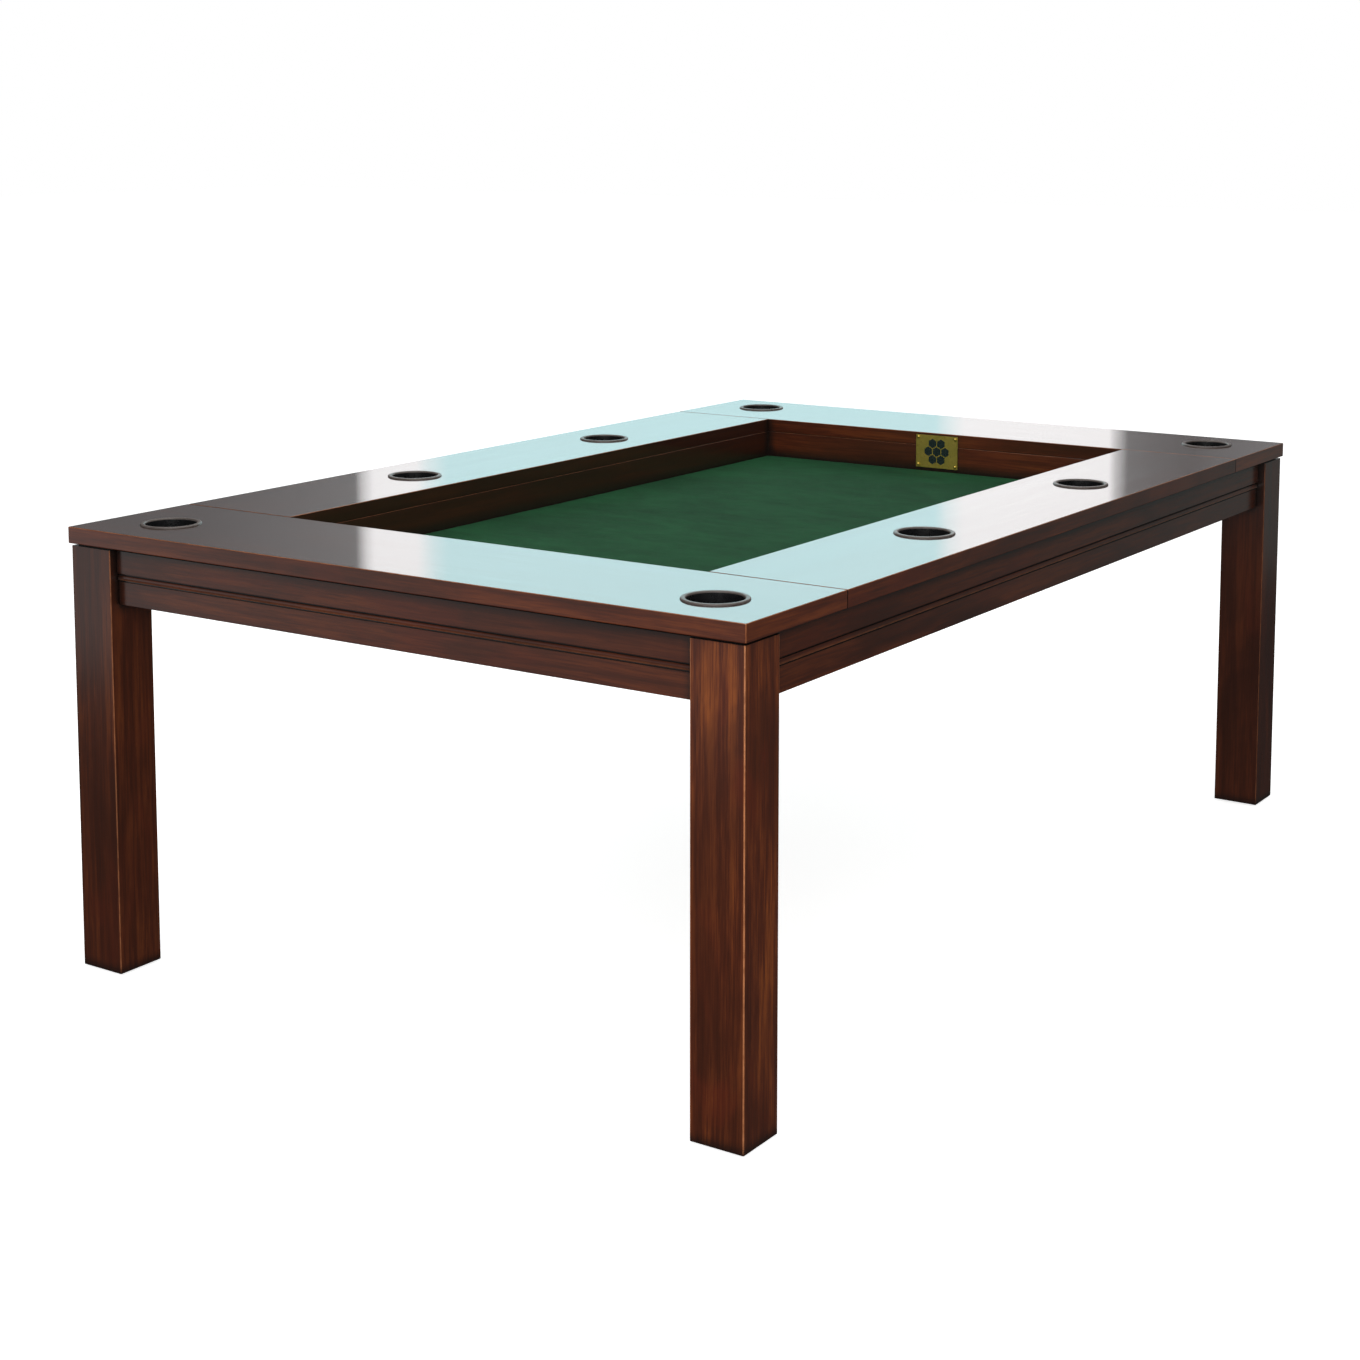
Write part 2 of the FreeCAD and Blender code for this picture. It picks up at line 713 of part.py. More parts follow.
def make_bracket_screws():
    """Two screws through each flange of each corner bracket into its apron."""
    length = "dims.bracket_sheet + dims.apron_screw_bite"
    from_corner = (f"(dims.bracket_reach - {APRON_BACK} + dims.bracket_flange"
                   " - dims.bracket_screw_offset)")
    seat = f"({APRON_BACK} + dims.bracket_sheet)"
    screws = []
    for corner, _, sign_x, sign_y in CORNERS:
        flanges = [("front", from_corner, seat, (0, sign_y, 0)),
                   ("end", seat, from_corner, (sign_x, 0, 0))]
        for flange, from_end, from_side, direction in flanges:
            for level, rise in (("low", "dims.bracket_hole_rise"),
                                ("high", "dims.bracket_height - dims.bracket_hole_rise")):
                solid = pan_head_screw(f"bracket_screw_{corner}_{flange}_{level}", length)
                x, y = at_corner(sign_x, sign_y, from_end, from_side)
                place(solid, x, y, f"dims.bracket_bottom + {rise}", aimed(direction))
                screws.append(solid)
    group("corner_bracket_screws", screws)


def make_fixing_blocks():
    """Blocks in the angles under the top boards, along the aprons and behind the pit walls.

    Each is screwed up into a top board and sideways into the apron or the pit wall.
    """
    apron_stations = {True: ("-dims.apron_block_outer", "-dims.apron_block_inner",
                             "dims.apron_block_inner", "dims.apron_block_outer"),
                      False: ("-dims.end_apron_block", "0", "dims.end_apron_block")}
    wall_stations = {True: ("-dims.wall_block", "0", "dims.wall_block"),
                     False: ("-dims.end_wall_block", "dims.end_wall_block")}
    blocks, screws = [], []
    for side, turn, _, _ in SIDES:
        is_long = side in LONG_SIDES
        board = "dims.long_board_width" if is_long else "dims.end_board_width"
        wall_row = f"({board} - dims.pit_wall_thickness - dims.block_side)"
        to_apron = outwards(side_inwards(side))
        rows = [("apron", apron_stations[is_long], APRON_BACK, to_apron,
                 f"{APRON_BACK} + dims.block_side"),
                ("wall", wall_stations[is_long], wall_row, side_inwards(side), wall_row)]
        for row, stations, start, direction, screw_face in rows:
            for number, along in enumerate(stations, 1):
                name = f"{row}_{side}_{number}"
                block = box(f"block_{name}", "dims.block_length", "dims.block_side", "dims.block_side")
                x, y = at_side(side, f"{along} - dims.block_length / 2", start)
                place(block, x, y, f"{BOARD_BOTTOM} - dims.block_side", turned(turn))
                blocks.append(block)
                upward = countersunk_screw(f"block_screw_up_{name}",
                                           "dims.block_side + dims.board_screw_bite")
                x, y = at_side(side, f"{along} - dims.block_screw_offset",
                               f"{start} + dims.block_side / 2")
                place(upward, x, y, f"{BOARD_BOTTOM} - dims.block_side")
                sideways = countersunk_screw(f"block_screw_side_{name}",
                                             "dims.block_side + dims.thin_board_screw_bite")
                x, y = at_side(side, f"{along} + dims.block_screw_offset", screw_face)
                place(sideways, x, y, f"{BOARD_BOTTOM} - dims.block_side / 2", aimed(direction))
                screws.extend([upward, sideways])
    group("fixing_blocks", blocks)
    group("fixing_block_screws", screws)


def make_seam_joints():
    """Dowels inside and steel plates under the four seams between end boards and long boards."""
    dowels, plates, screws = [], [], []
    seam = "(dims.end_board_width + dims.seam_gap / 2)"
    for corner, _, sign_x, sign_y in CORNERS:
        for number in range(3):
            dowel = cylinder(f"dowel_{corner}_{number}", "dims.dowel_radius", "dims.dowel_length")
            x, y = at_corner(sign_x, sign_y, f"{seam} - dims.dowel_length / 2",
                             f"dims.dowel_edge_space + {number} * dims.dowel_spacing")
            middle = "dims.table_height - dims.board_thickness / 2"
            dowels.append(place(dowel, x, y, middle, aimed((-sign_x, 0, 0))))
        for number in range(2):
            name = f"{corner}_{number}"
            from_side = f"(dims.plate_edge_space + {number} * dims.plate_spacing)"
            strip = box(f"plate_strip_{name}", "dims.plate_length", "dims.plate_width",
                        "dims.plate_sheet")
            x, y = at_corner(sign_x, sign_y, seam, from_side)
            place(strip, f"{x} - dims.plate_length / 2", f"{y} - dims.plate_width / 2",
                  f"{BOARD_BOTTOM} - dims.plate_sheet")
            bores = []
            for spot, offset in enumerate(("-dims.plate_hole_far", "-dims.plate_hole_near",
                                           "dims.plate_hole_near", "dims.plate_hole_far")):
                x, y = at_corner(sign_x, sign_y, f"{seam} + {offset}", from_side)
                height = f"{BOARD_BOTTOM} - dims.plate_sheet"
                bore = cylinder(f"plate_bore_{name}_{spot}", "dims.screw_hole_radius",
                                "dims.plate_sheet")
                bores.append(place(bore, x, y, height))
                fixing = pan_head_screw(f"plate_screw_{name}_{spot}",
                                        "dims.plate_sheet + dims.board_screw_bite")
                screws.append(place(fixing, x, y, height))
            tool = document.addObject("Part::Compound", f"plate_bores_{name}")
            tool.Links = bores
            plates.append(combine("Part::Cut", f"plate_{name}", strip, tool))
    group("seam_dowels", dowels)
    group("seam_plates", plates)
    group("seam_plate_screws", screws)


def make_bearer_fixings():
    """Screws up through the cleats and bearers, and sideways through the cleats into the aprons."""
    level = f"{PLAY_BOARD_BOTTOM} - dims.bearer_height"
    cleat_screws, bearer_screws, board_screws = [], [], []
    for steps in (-2, -1, 0, 1, 2):
        along = f"{steps} * dims.bearer_spacing"
        for side in LONG_SIDES:
            name = f"{side}_{steps + 2}"
            x, _ = at_side(side, along, "0")
            _, y = at_side(side, along, f"{APRON_BACK} + dims.cleat_width / 2")
            upward = countersunk_screw(f"bearer_screw_{name}", "dims.bearer_height - dims.screw_cover")
            bearer_screws.append(place(upward, x, y, level))
            sideways = countersunk_screw(f"cleat_screw_{name}",
                                         "dims.cleat_width + dims.apron_screw_bite")
            x, y = at_side(side, f"{along} + dims.cleat_screw_offset",
                           f"{APRON_BACK} + dims.cleat_width")
            place(sideways, x, y, f"{level} + dims.cleat_height / 2",
                  aimed(outwards(side_inwards(side))))
            cleat_screws.append(sideways)
        for number, across in enumerate((-1, 0, 1)):
            fixing = countersunk_screw(f"board_screw_{steps + 2}_{number}",
                                       "dims.bearer_height + dims.thin_board_screw_bite")
            y = f"{across} * dims.play_board_screw_offset"
            board_screws.append(place(fixing, along, y, level))
    group("cleat_screws", cleat_screws)
    group("bearer_screws", bearer_screws)
    group("play_board_screws", board_screws)


def make_plaque():
    """A brass plate on the right wall of the pit, inlaid with a ring of plain hexagonal tiles."""
    inward = aimed((1, 0, 0))
    face = f"({PIT_HALF_LENGTH} - dims.plaque_sheet)"
    middle = "(dims.table_height - dims.plaque_top_space - dims.plaque_height / 2)"
    plate = box("plaque_sheet_box", "dims.plaque_sheet", "dims.plaque_width", "dims.plaque_height")
    place(plate, face, "-dims.plaque_width / 2", f"{middle} - dims.plaque_height / 2")
    pitch = "(dims.plaque_tile_radius * sqrt(3) + dims.plaque_tile_gap)"
    spots = [("0", "0")] + [(f"{pitch} * cos({angle})", f"{pitch} * sin({angle})")
                            for angle in range(0, 360, 60)]
    tiles = []
    for number, (across, rise) in enumerate(spots):
        tile = document.addObject("Part::Prism", f"plaque_tile_{number}")
        bind(tile, Circumradius="dims.plaque_tile_radius", Height="dims.plaque_tile_depth")
        tiles.append(place(tile, face, across, f"{middle} + {rise}", inward))
    enamel = group("plaque_enamel", tiles)
    bores, pins = [], []
    for sign_y in (-1, 1):
        for sign_z in (-1, 1):
            name = f"{sign_y + 1}{sign_z + 1}"
            y = f"{sign_y} * (dims.plaque_width / 2 - dims.pin_margin)"
            z = f"{middle} + {sign_z} * (dims.plaque_height / 2 - dims.pin_margin)"
            bore = cylinder(f"pin_bore_{name}", "dims.pin_hole_radius", "dims.plaque_sheet")
            bores.append(place(bore, face, y, z, inward))
            shank = cylinder(f"pin_shank_{name}", "dims.pin_shank_radius", "dims.pin_length")
            dome = document.addObject("Part::Sphere", f"pin_dome_{name}")
            bind(dome, Radius="dims.pin_head_radius")
            dome.Angle2 = 0
            pin = combine("Part::Fuse", f"pin_{name}", dome, shank)
            pins.append(place(pin, face, y, z, inward))
    tools = document.addObject("Part::Compound", "plaque_tools")
    tools.Links = [enamel] + bores
    keep(combine("Part::Cut", "brass_plaque_cut", plate, tools), "brass_plaque")
    group("plaque_pins", pins)


def make_table():
    for corner, turn, sign_x, sign_y in CORNERS:
        make_leg(corner, turn, sign_x, sign_y)
        make_glide(corner, sign_x, sign_y)
        make_bracket(corner, turn, sign_x, sign_y)
    for side, turn, x, y in SIDES:
        make_apron(side, turn, x, y)
        make_top_board(side, turn, x, y)
        make_pit_wall(side, turn, x, y)
        if side in LONG_SIDES:
            make_cleat(side, turn)
    make_play_board()
    make_felt()
    for number, steps in enumerate((-2, -1, 0, 1, 2), 1):
        make_bearer(number, steps)
    make_cup_holders()
    make_leg_bolts()
    make_bracket_screws()
    make_fixing_blocks()
    make_seam_joints()
    make_bearer_fixings()
    make_plaque()


def check_document():
    for item in document.Objects:
        if "Invalid" in item.State or "Error" in item.State:
            raise RuntimeError(f"{item.Name} did not compute: {item.State}")
    for piece in pieces:
        if piece.Shape.isNull() or not piece.Shape.isValid() or not piece.Shape.Solids:
            raise RuntimeError(f"{piece.Label} has no valid shape")


def export_pieces():
    os.makedirs("parts", exist_ok=True)
    for piece in pieces:
        piece.Shape.exportStep(f"parts/{piece.Label}.step")
        print(f"{piece.Label}: {len(piece.Shape.Solids)} solid(s), {piece.Shape.Volume / 1000:.1f} cm3")
    print(f"{len(pieces)} sub-parts")


fill_sheet()
make_table()
document.recompute()
check_document()
export_pieces()
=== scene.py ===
"""Looks for the gaming table: materials, felt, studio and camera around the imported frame.

Metres, +Z up, +X along the table towards the plaque end, origin on the floor under its centre.
"""
import json
import math

import bmesh
import bpy
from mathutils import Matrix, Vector, noise


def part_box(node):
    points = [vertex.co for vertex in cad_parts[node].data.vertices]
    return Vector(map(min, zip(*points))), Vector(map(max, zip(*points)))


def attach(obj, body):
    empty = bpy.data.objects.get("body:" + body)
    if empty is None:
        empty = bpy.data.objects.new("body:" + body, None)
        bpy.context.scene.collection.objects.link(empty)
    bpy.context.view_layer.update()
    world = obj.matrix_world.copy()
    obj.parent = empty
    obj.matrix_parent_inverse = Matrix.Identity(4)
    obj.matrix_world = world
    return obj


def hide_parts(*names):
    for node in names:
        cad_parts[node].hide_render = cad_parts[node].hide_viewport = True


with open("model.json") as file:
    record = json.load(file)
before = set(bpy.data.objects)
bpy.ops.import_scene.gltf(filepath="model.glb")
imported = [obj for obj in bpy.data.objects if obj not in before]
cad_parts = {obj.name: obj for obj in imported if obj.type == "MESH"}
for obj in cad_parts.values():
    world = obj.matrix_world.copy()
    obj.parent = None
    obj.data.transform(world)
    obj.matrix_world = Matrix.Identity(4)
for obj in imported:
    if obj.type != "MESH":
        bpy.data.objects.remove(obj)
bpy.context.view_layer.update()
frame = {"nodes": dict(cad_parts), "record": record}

AXES = "XYZ"

# The view: where the camera stands, its heading clockwise from +Y, and how far it tips down.
CAMERA_PLACE = Vector((-3.689, -2.337, 1.451))
CAMERA_HEADING = 56.06
CAMERA_DIP = 6.54
CAMERA_LENS = 61.9
CAMERA_SENSOR = 36.0
CAMERA_SHIFT_DOWN = 0.22

# Stain colours, linear.
STAIN_DARK = (0.036, 0.0085, 0.0034)
STAIN_RED = (0.150, 0.029, 0.0085)
STAIN_AMBER = (0.300, 0.078, 0.0130)
STAIN_BLUSH = (0.155, 0.021, 0.0065)
# Painted shade by facing, copper for edge abrasion with a painted highlight, and painted shade in
# corners.
FACING_SHADE_COLOUR = tuple(0.35 * part for part in STAIN_DARK)
COPPER_WEAR_AND_HIGHLIGHT = (0.60, 0.225, 0.090)
CORNER_SHADE_COLOUR = (0.010, 0.0045, 0.0030)

# The even light of the room, from straight below and from above, and how much of it the lacquer mirrors.
ROOM_LIGHT_LOW = 0.16
ROOM_LIGHT_HIGH = 0.5
MIRRORED_ROOM = 0.04


# ---------------------------------------------------------------- node helpers

def new_material(name):
    """An empty node material with one Principled shader wired to the output."""
    material = bpy.data.materials.new(name)
    material.use_nodes = True
    tree = material.node_tree
    return material, tree, tree.nodes["Principled BSDF"]


def node(tree, kind, inputs=None, **settings):
    """Add a node. An input given as a socket is linked, and any other value is set on the input."""
    made = tree.nodes.new("ShaderNode" + kind)
    for name, value in settings.items():
        setattr(made, name, value)
    for name, value in (inputs or {}).items():
        if isinstance(value, bpy.types.NodeSocket):
            tree.links.new(value, made.inputs[name])
        else:
            made.inputs[name].default_value = value
    return made


def math_node(tree, operation, first, second=0.0, clamp=False):
    return node(tree, "Math", {0: first, 1: second}, operation=operation, use_clamp=clamp).outputs[0]


def place(tree, scale=(1, 1, 1), shift=(0, 0, 0)):
    """Object coordinates in metres, scaled and shifted."""
    where = node(tree, "TexCoord").outputs["Object"]
    return node(tree, "Mapping", {"Vector": where, "Location": shift, "Scale": scale}).outputs[0]


def cloud(tree, where, scale, detail=3.0, roughness=0.55, distortion=0.0):
    """Soft noise from 0 to 1. scale is how many features fit in a metre."""
    return node(tree, "TexNoise", {
        "Vector": where, "Scale": scale, "Detail": detail,
        "Roughness": roughness, "Distortion": distortion}).outputs["Fac"]


def spread(tree, value, low, high, to_low=0.0, to_high=1.0):
    """Stretch the range low to high onto to_low to to_high, smoothly and clamped."""
    return node(tree, "MapRange", {
        "Value": value, "From Min": low, "From Max": high, "To Min": to_low, "To Max": to_high,
    }, interpolation_type="SMOOTHSTEP").outputs["Result"]


def blend_colour(tree, share, first, second, how="MIX"):
    """first where share is 0, second where it is 1. Colours are sockets or linear triples."""
    def colour(value):
        return value if isinstance(value, bpy.types.NodeSocket) else (*value, 1.0)
    mix = node(tree, "Mix", data_type="RGBA", blend_type=how)
    for name, value in (("Factor", share), ("A", colour(first)), ("B", colour(second))):
        kind = "VALUE" if name == "Factor" else "RGBA"
        socket = next(s for s in mix.inputs if s.name == name and s.type == kind)
        if isinstance(value, bpy.types.NodeSocket):
            tree.links.new(value, socket)
        else:
            socket.default_value = value
    return next(s for s in mix.outputs if s.type == "RGBA")


def bump(tree, height, strength, distance):
    return node(tree, "Bump", {
        "Height": height, "Strength": strength, "Distance": distance}).outputs["Normal"]


def set_inputs(tree, shader, **inputs):
    """Set or link the shader's inputs. An underscore in a keyword stands for a space."""
    for word, value in inputs.items():
        socket = shader.inputs[word.replace("_", " ")]
        if isinstance(value, bpy.types.NodeSocket):
            tree.links.new(value, socket)
        else:
            socket.default_value = value


# ---------------------------------------------------------------- wood

def grain_scale(grain_axis, stretch):
    """A scale that draws every pattern out along the grain."""
    return tuple(1.0 / stretch if axis == grain_axis else 1.0 for axis in AXES)


def board_shift(seed):
    """Where in the log this board was cut, so that no two boards look alike."""
    return tuple(seed * step for step in (1.37, 2.11, 0.83))


def facing_up(tree):
    """The surface's upward lean: 1 on level tops, 0 on upright faces, -1 underneath."""
    return node(tree, "SeparateXYZ", {0: node(tree, "NewGeometry").outputs["Normal"]}).outputs["Z"]


def facing_centre(tree):
    """1 where the surface looks towards the middle of the table, as inside the pit."""
    normal = node(tree, "NewGeometry").outputs["Normal"]
    outwards = node(tree, "VectorMath", {0: normal, 1: place(tree)}, operation="DOT_PRODUCT")
    height = node(tree, "SeparateXYZ", {0: place(tree)}).outputs["Z"]
    lift = math_node(tree, "MULTIPLY", facing_up(tree), height)
    level_part = math_node(tree, "SUBTRACT", outwards.outputs["Value"], lift)
    return spread(tree, level_part, -0.05, -0.15)


def long_edge_mask(tree, box, grain_axis, reach):
    """1 within reach of a squared timber's four long edges."""
    where = node(tree, "SeparateXYZ", {0: place(tree)})
    inset = []
    for axis, low, high in zip(AXES, *box):
        if axis != grain_axis:
            off_centre = math_node(tree, "SUBTRACT", where.outputs[axis], (low + high) / 2)
            off_centre = math_node(tree, "ABSOLUTE", off_centre)
            inset.append(math_node(tree, "SUBTRACT", (high - low) / 2, off_centre))
    return spread(tree, math_node(tree, "MAXIMUM", *inset), reach, 0.4 * reach)


def arris_mask(tree):
    """1 on rounded edges and 0 on flat faces: an edge's normal lies between two axes.

    Edges that face down get neither the abrasion nor the painted highlight, so they keep their stain.
    """
    normal = node(tree, "NewGeometry").outputs["Normal"]
    parts = node(tree, "SeparateXYZ", {0: node(tree, "VectorMath", {0: normal},
                                               operation="ABSOLUTE").outputs[0]})
    largest = math_node(tree, "MAXIMUM", parts.outputs[0], parts.outputs[1])
    largest = math_node(tree, "MAXIMUM", largest, parts.outputs[2])
    return math_node(tree, "MULTIPLY", spread(tree, largest, 0.99, 0.84),
                     spread(tree, facing_up(tree), -0.3, -0.1))


def along_face(tree, grain_axis, stretch, shift):
    """Coordinates drawn out along the grain, and level across the lipped ends of a board."""
    level_axis = "X" if grain_axis == "Y" else "Y"
    normal = node(tree, "SeparateXYZ", {0: node(tree, "NewGeometry").outputs["Normal"]})
    facing_end = math_node(tree, "ABSOLUTE", normal.outputs[grain_axis])
    mix = node(tree, "Mix", data_type="VECTOR")
    tree.links.new(spread(tree, facing_end, 0.80, 0.81), mix.inputs["Factor"])
    tree.links.new(place(tree, grain_scale(grain_axis, stretch), shift), mix.inputs[4])
    tree.links.new(place(tree, grain_scale(level_axis, stretch), shift), mix.inputs[5])
    return mix.outputs[1]


def corner_shade_mask(tree):
    """1 deep in inside corners and grooves: the mask for the painted shade there."""
    corner = node(tree, "AmbientOcclusion", {"Distance": 0.024}, samples=6)
    return spread(tree, corner.outputs["AO"], 0.97, 0.62)


def stained_wood(name, box, grain_axis, seed, lacquer_roughness=0.2, figure=0.6, amber=0.3, wear_and_highlight=0.2,
                 dark_top=0.0, dark_side=0.0, dark_inside=0.0, wear_and_sheen=0.0):
    """Dark red-brown stained hardwood under clear lacquer.

    figure is how lively the grain is, amber how much of the lighter wood shows through the stain,
    and wear_and_highlight how much copper shows on the edges: partly abrasion, partly a painted
    highlight. dark_top, dark_side and dark_inside are the share of a painted shade on level faces,
    on upright faces and on those towards the pit. wear_and_sheen is how far from its long edges a
    timber gets that copper, in metres.
    """
    material, tree, shader = new_material(name)
    shift = board_shift(seed)
    fibre_stretch = 26
    stain_stretch = 2.5
    fibres = along_face(tree, grain_axis, fibre_stretch, shift)
    stain = along_face(tree, grain_axis, stain_stretch, shift)

    ribbon = cloud(tree, fibres, 62, detail=4, roughness=0.55, distortion=0.5)
    threads = cloud(tree, fibres, 330, detail=3, roughness=0.65, distortion=0.3)
    streaks = math_node(tree, "ADD", math_node(tree, "MULTIPLY", ribbon, 0.60),
                        math_node(tree, "MULTIPLY", threads, 0.40))
    pores = spread(tree, cloud(tree, fibres, 700, detail=1.5), 0.60, 0.74)
    patches = cloud(tree, stain, 6.0, detail=4.0, distortion=0.6)
    blushes = cloud(tree, stain, 9.0, detail=4.0, distortion=0.8)

    middle = 0.46
    half_range = 0.15 / figure
    grain = spread(tree, streaks, middle - half_range, middle + half_range)
    wood = blend_colour(tree, grain, STAIN_DARK, STAIN_RED)
    light = math_node(tree, "MULTIPLY", spread(tree, streaks, middle, 0.66),
                      spread(tree, patches, 0.36, 0.66, 0.3 * amber, amber))
    wood = blend_colour(tree, light, wood, STAIN_AMBER)
    wood = blend_colour(tree, spread(tree, patches, 0.58, 0.36, 0.0, 0.55), wood, STAIN_DARK)
    wood = blend_colour(tree, spread(tree, blushes, 0.52, 0.70, 0.0, 0.5 * figure), wood, STAIN_BLUSH)
    wood = blend_colour(tree, math_node(tree, "MULTIPLY", pores, 0.30), wood, STAIN_DARK)

    edge_breakup = cloud(tree, place(tree, (1, 1, 1), shift), 38, detail=4)
    # Painted shade: darker by which way a face points, and on faces towards the pit.
    facing_shade_share = spread(tree, facing_up(tree), 0.4, 0.9, dark_side, dark_top)
    if dark_inside:
        inside = math_node(tree, "MULTIPLY", facing_centre(tree), dark_inside)
        facing_shade_share = math_node(tree, "MAXIMUM", facing_shade_share, inside)
    wood = blend_colour(tree, facing_shade_share, wood, FACING_SHADE_COLOUR)
    # Copper on the edges: partly abrasion, partly a painted highlight, broken up by noise.
    edges = arris_mask(tree)
    if wear_and_sheen:
        edges = math_node(tree, "MAXIMUM", edges, long_edge_mask(tree, box, grain_axis, wear_and_sheen))
    wear_and_highlight_share = math_node(tree, "MULTIPLY", edges, spread(tree, edge_breakup, 0.36, 0.58, 0.6 * wear_and_highlight, wear_and_highlight))
    wood = blend_colour(tree, wear_and_highlight_share, wood, COPPER_WEAR_AND_HIGHLIGHT)
    # Painted shade in inside corners and grooves, where ambient occlusion is high.
    wood = blend_colour(tree, corner_shade_mask(tree), wood, CORNER_SHADE_COLOUR)

    depth = math_node(tree, "SUBTRACT", math_node(tree, "MULTIPLY", ribbon, 0.5), pores)
    ripple = math_node(tree, "ADD", math_node(tree, "MULTIPLY", ribbon, 0.3),
                       cloud(tree, place(tree), 130, detail=2))
    set_inputs(
        tree, shader, Base_Color=wood, Specular_IOR_Level=0.15,
        Roughness=spread(tree, streaks, 0.2, 0.8, 0.42, 0.60),
        Normal=bump(tree, depth, 0.20, 0.0004),
        Coat_Weight=1.0, Coat_Roughness=lacquer_roughness, Coat_IOR=1.5,
        Coat_Normal=bump(tree, ripple, 0.02, 0.0003))
    return material


def raw_wood(name, grain_axis, dark, light, plies=None):
    """Planed, unfinished wood. plies = (lowest, thickness) draws a plywood edge's layers."""
    material, tree, shader = new_material(name)
    fibres = place(tree, grain_scale(grain_axis, 22))
    ribbon = cloud(tree, fibres, 60, detail=5, roughness=0.6, distortion=0.3)
    rings = cloud(tree, place(tree, grain_scale(grain_axis, 8)), 8, detail=2, distortion=0.4)
    rings = spread(tree, math_node(tree, "SINE", math_node(tree, "MULTIPLY", rings, 48.0)), -1, 1)
    tone = math_node(tree, "ADD", math_node(tree, "MULTIPLY", ribbon, 0.75),
                     math_node(tree, "MULTIPLY", rings, 0.25))
    wood = blend_colour(tree, spread(tree, tone, 0.28, 0.72), dark, light)
    blotches = cloud(tree, place(tree), 11, detail=4)
    wood = blend_colour(tree, spread(tree, blotches, 0.58, 0.75, 0.0, 0.35), wood, dark)
    if plies:
        lowest, thickness = plies
        height = node(tree, "SeparateXYZ", {0: place(tree)}).outputs["Z"]
        layer = math_node(tree, "DIVIDE", math_node(tree, "SUBTRACT", height, lowest), thickness)
        glue = math_node(tree, "PINGPONG", layer, 0.5)
        wood = blend_colour(tree, spread(tree, glue, 0.10, 0.02), wood, tuple(c * 0.35 for c in dark))
    set_inputs(tree, shader, Base_Color=wood, Specular_IOR_Level=0.3,
               Roughness=spread(tree, tone, 0.2, 0.8, 0.62, 0.82),
               Normal=bump(tree, ribbon, 0.35, 0.0006))
    return material


# ---------------------------------------------------------------- other materials

def felt_material():
    """Dense short-nap felt: brushed patches, single fibres and a soft sheen."""
    material, tree, shader = new_material("felt_nap")
    brushed = place(tree, (1.0, 0.42, 1.0))
    patches = cloud(tree, brushed, 7, detail=5, roughness=0.62, distortion=0.8)
    strokes = cloud(tree, brushed, 46, detail=4, roughness=0.65, distortion=0.5)
    fibres = cloud(tree, place(tree), 950, detail=4, roughness=0.75, distortion=1.2)
    lint = node(tree, "TexVoronoi", {"Vector": place(tree), "Scale": 33.0}, feature="F1")
    lint = math_node(tree, "MULTIPLY", spread(tree, lint.outputs["Distance"], 0.045, 0.02),
                     spread(tree, strokes, 0.55, 0.68))
    tone = math_node(tree, "ADD", math_node(tree, "MULTIPLY", patches, 0.55),
                     math_node(tree, "MULTIPLY", strokes, 0.45))
    green = blend_colour(tree, spread(tree, tone, 0.30, 0.70), (0.0042, 0.0405, 0.0138),
                         (0.0096, 0.0840, 0.0285))
    green = blend_colour(tree, spread(tree, fibres, 0.40, 0.68, 0.0, 0.55), green,
                         (0.0045, 0.022, 0.009))
    green = blend_colour(tree, math_node(tree, "MULTIPLY", lint, 0.35), green, (0.25, 0.36, 0.27))
    height = math_node(tree, "ADD", fibres, math_node(tree, "MULTIPLY", strokes, 0.6))
    set_inputs(tree, shader, Base_Color=green, Specular_IOR_Level=0.12,
               Roughness=spread(tree, fibres, 0.3, 0.7, 0.86, 1.0),
               Normal=bump(tree, height, 0.75, 0.0012),
               Sheen_Weight=0.07, Sheen_Roughness=0.55, Sheen_Tint=(0.32, 0.62, 0.40, 1.0))
    return material


def black_plastic():
    """Satin moulded plastic: a grey-brown rim over a black, smoother tub.

    The rim's grey-brown is partly abrasion, partly painted sheen.
    """
    material, tree, shader = new_material("cup_plastic")
    flow = cloud(tree, place(tree), 60, detail=3, distortion=0.5)
    smears = cloud(tree, place(tree), 90, detail=4, roughness=0.6)
    height = node(tree, "SeparateXYZ", {0: place(tree)}).outputs["Z"]
    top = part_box("top_board_front")[1].z
    on_rim = spread(tree, height, top - 0.0005, top + 0.0005)
    black = blend_colour(tree, flow, (0.004, 0.0042, 0.005), (0.011, 0.011, 0.012))
    # The rim's grey-brown: partly abrasion, partly painted sheen.
    wear_and_sheen = blend_colour(tree, smears, (0.070, 0.056, 0.050), (0.125, 0.104, 0.096))
    set_inputs(tree, shader, Base_Color=blend_colour(tree, on_rim, black, wear_and_sheen), Specular_IOR_Level=0.5,
               Roughness=math_node(tree, "ADD", spread(tree, smears, 0.35, 0.75, 0.26, 0.36),
                                   math_node(tree, "MULTIPLY", on_rim, 0.14)),
               Normal=bump(tree, flow, 0.04, 0.0003))
    return material


